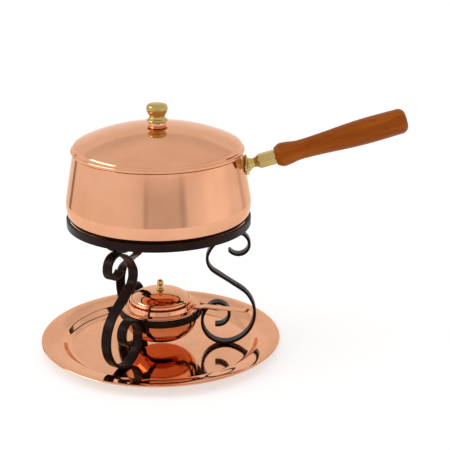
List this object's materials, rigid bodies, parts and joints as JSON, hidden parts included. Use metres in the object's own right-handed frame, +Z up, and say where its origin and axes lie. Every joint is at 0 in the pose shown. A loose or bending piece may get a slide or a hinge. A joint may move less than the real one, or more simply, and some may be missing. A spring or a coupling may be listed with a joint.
{
  "type": "fondue pot set",
  "caption": "Copper fondue pot with a domed lid and turned wooden side handle, on a wrought-iron scroll stand over a spirit burner with a snuffer, in a round copper tray.",
  "frame": {"origin": "centre of the tray's flat underside, on the table", "axes": "+X towards the pot's handle, +Y away from the side where the burner's strip handle turns, +Z up"},
  "size_m": [0.3801, 0.2534, 0.2637],
  "materials": {
    "copper": "polished copper sheet, mirror bright, with fine turning and polishing lines",
    "iron": "black painted wrought-iron flat bar, satin",
    "brass": "polished brass, lacquered",
    "steel": "plain bright steel",
    "wood": "turned hardwood, reddish-brown stain, satin varnish",
    "wool": "matted mineral wool"
  },
  "bodies": {
    "tray": {"tray": "copper"},
    "stand": {"pot_ring": "iron", "burner_ring": "iron", "leg_1": "iron", "leg_2": "iron", "leg_3": "iron", "pot_rest_1": "iron", "pot_rest_2": "iron", "pot_rest_3": "iron"},
    "pot": {"pot_body": "copper", "handle_plate": "brass", "handle_rivet_1": "brass", "handle_rivet_2": "brass", "handle_neck": "brass", "handle_ferrule": "brass", "handle_rod": "steel", "handle_grip": "wood"},
    "lid": {"lid_shell": "copper", "lid_boss": "copper", "lid_knob": "brass", "lid_screw": "steel"},
    "burner": {"burner_bowl": "copper", "burner_top": "copper", "burner_handle": "copper", "burner_rivet_1": "copper", "burner_rivet_2": "copper", "burner_gauze": "steel", "burner_pad": "wool"},
    "snuffer": {"snuffer_lid": "copper", "snuffer_knob": "brass", "snuffer_screw": "steel"}
  },
  "joints": [
    {"name": "stand_lift", "type": "slide", "parent": "tray", "child": "stand", "axis": [0, 0, 1], "range_m": [0, 0.06]},
    {"name": "pot_lift", "type": "slide", "parent": "stand", "child": "pot", "axis": [0, 0, 1], "range_m": [0, 0.06]},
    {"name": "lid_lift", "type": "slide", "parent": "pot", "child": "lid", "axis": [0, 0, 1], "range_m": [0, 0.04]},
    {"name": "burner_lift", "type": "slide", "parent": "stand", "child": "burner", "axis": [0, 0, 1], "range_m": [0, 0.035]},
    {"name": "snuffer_lift", "type": "slide", "parent": "burner", "child": "snuffer", "axis": [0, 0, 1], "range_m": [0, 0.014]}
  ]
}
